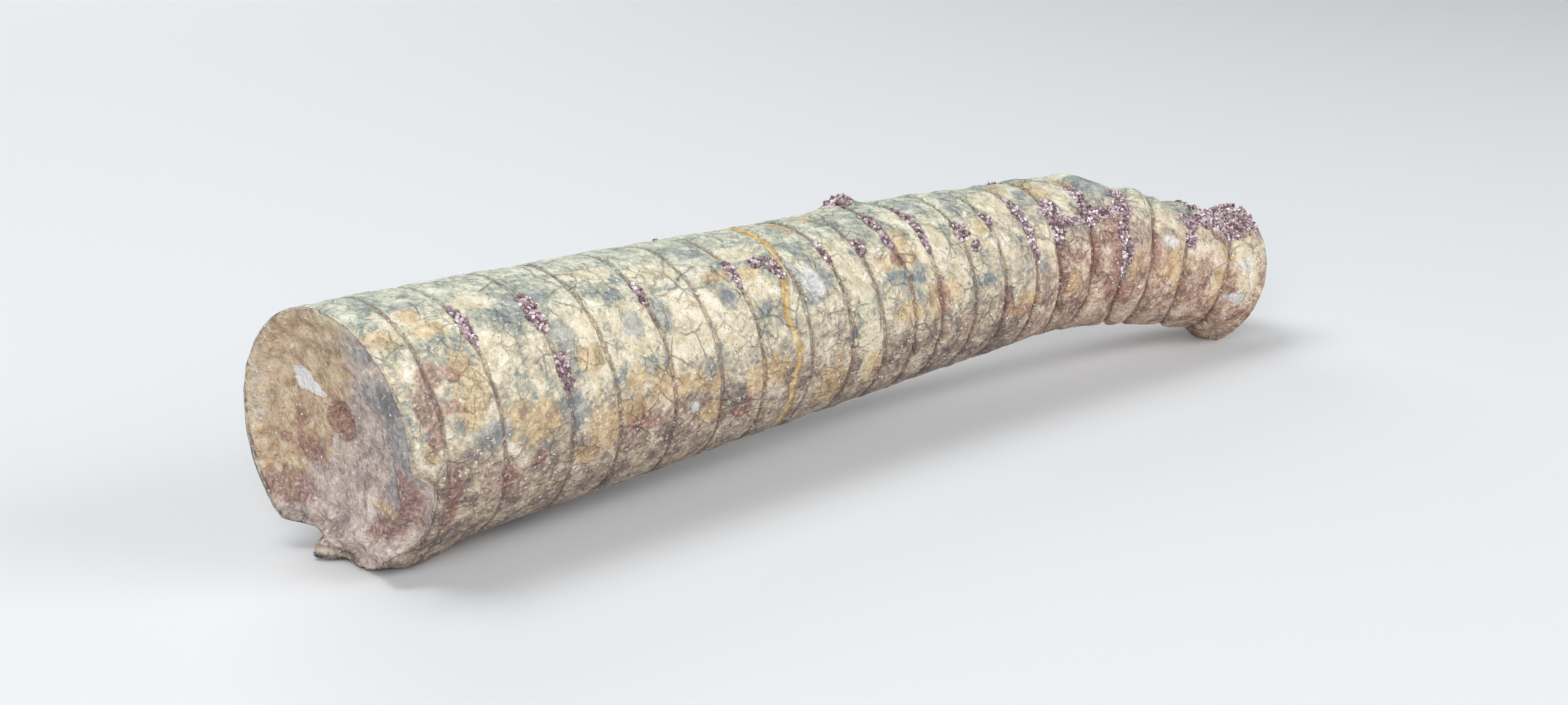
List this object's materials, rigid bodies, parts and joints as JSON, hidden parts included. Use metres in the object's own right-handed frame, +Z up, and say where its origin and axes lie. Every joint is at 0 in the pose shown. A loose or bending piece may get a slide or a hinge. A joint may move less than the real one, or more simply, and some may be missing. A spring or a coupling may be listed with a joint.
{
  "type": "fossil orthocone nautiloid",
  "caption": "Fossil of a straight-shelled nautiloid: a tapering, slightly bent stone cast of its chambers, broken off at both ends, lying on its side.",
  "frame": {"origin": "the middle of the bounding box, on the surface that the fossil lies on", "axes": "+X from the large broken end to the small end, +Z up, +Y towards the side that the small end bends away from"},
  "size_m": [0.2016, 0.0414, 0.0395],
  "materials": {
    "fossil_stone": "weathered, granular and matt, with fine sparkle; cream, ochre, grey-green and pinkish brown, maroon crystals in the sutures"
  },
  "bodies": {
    "root": {"orthoceras": "fossil_stone"}
  },
  "joints": []
}
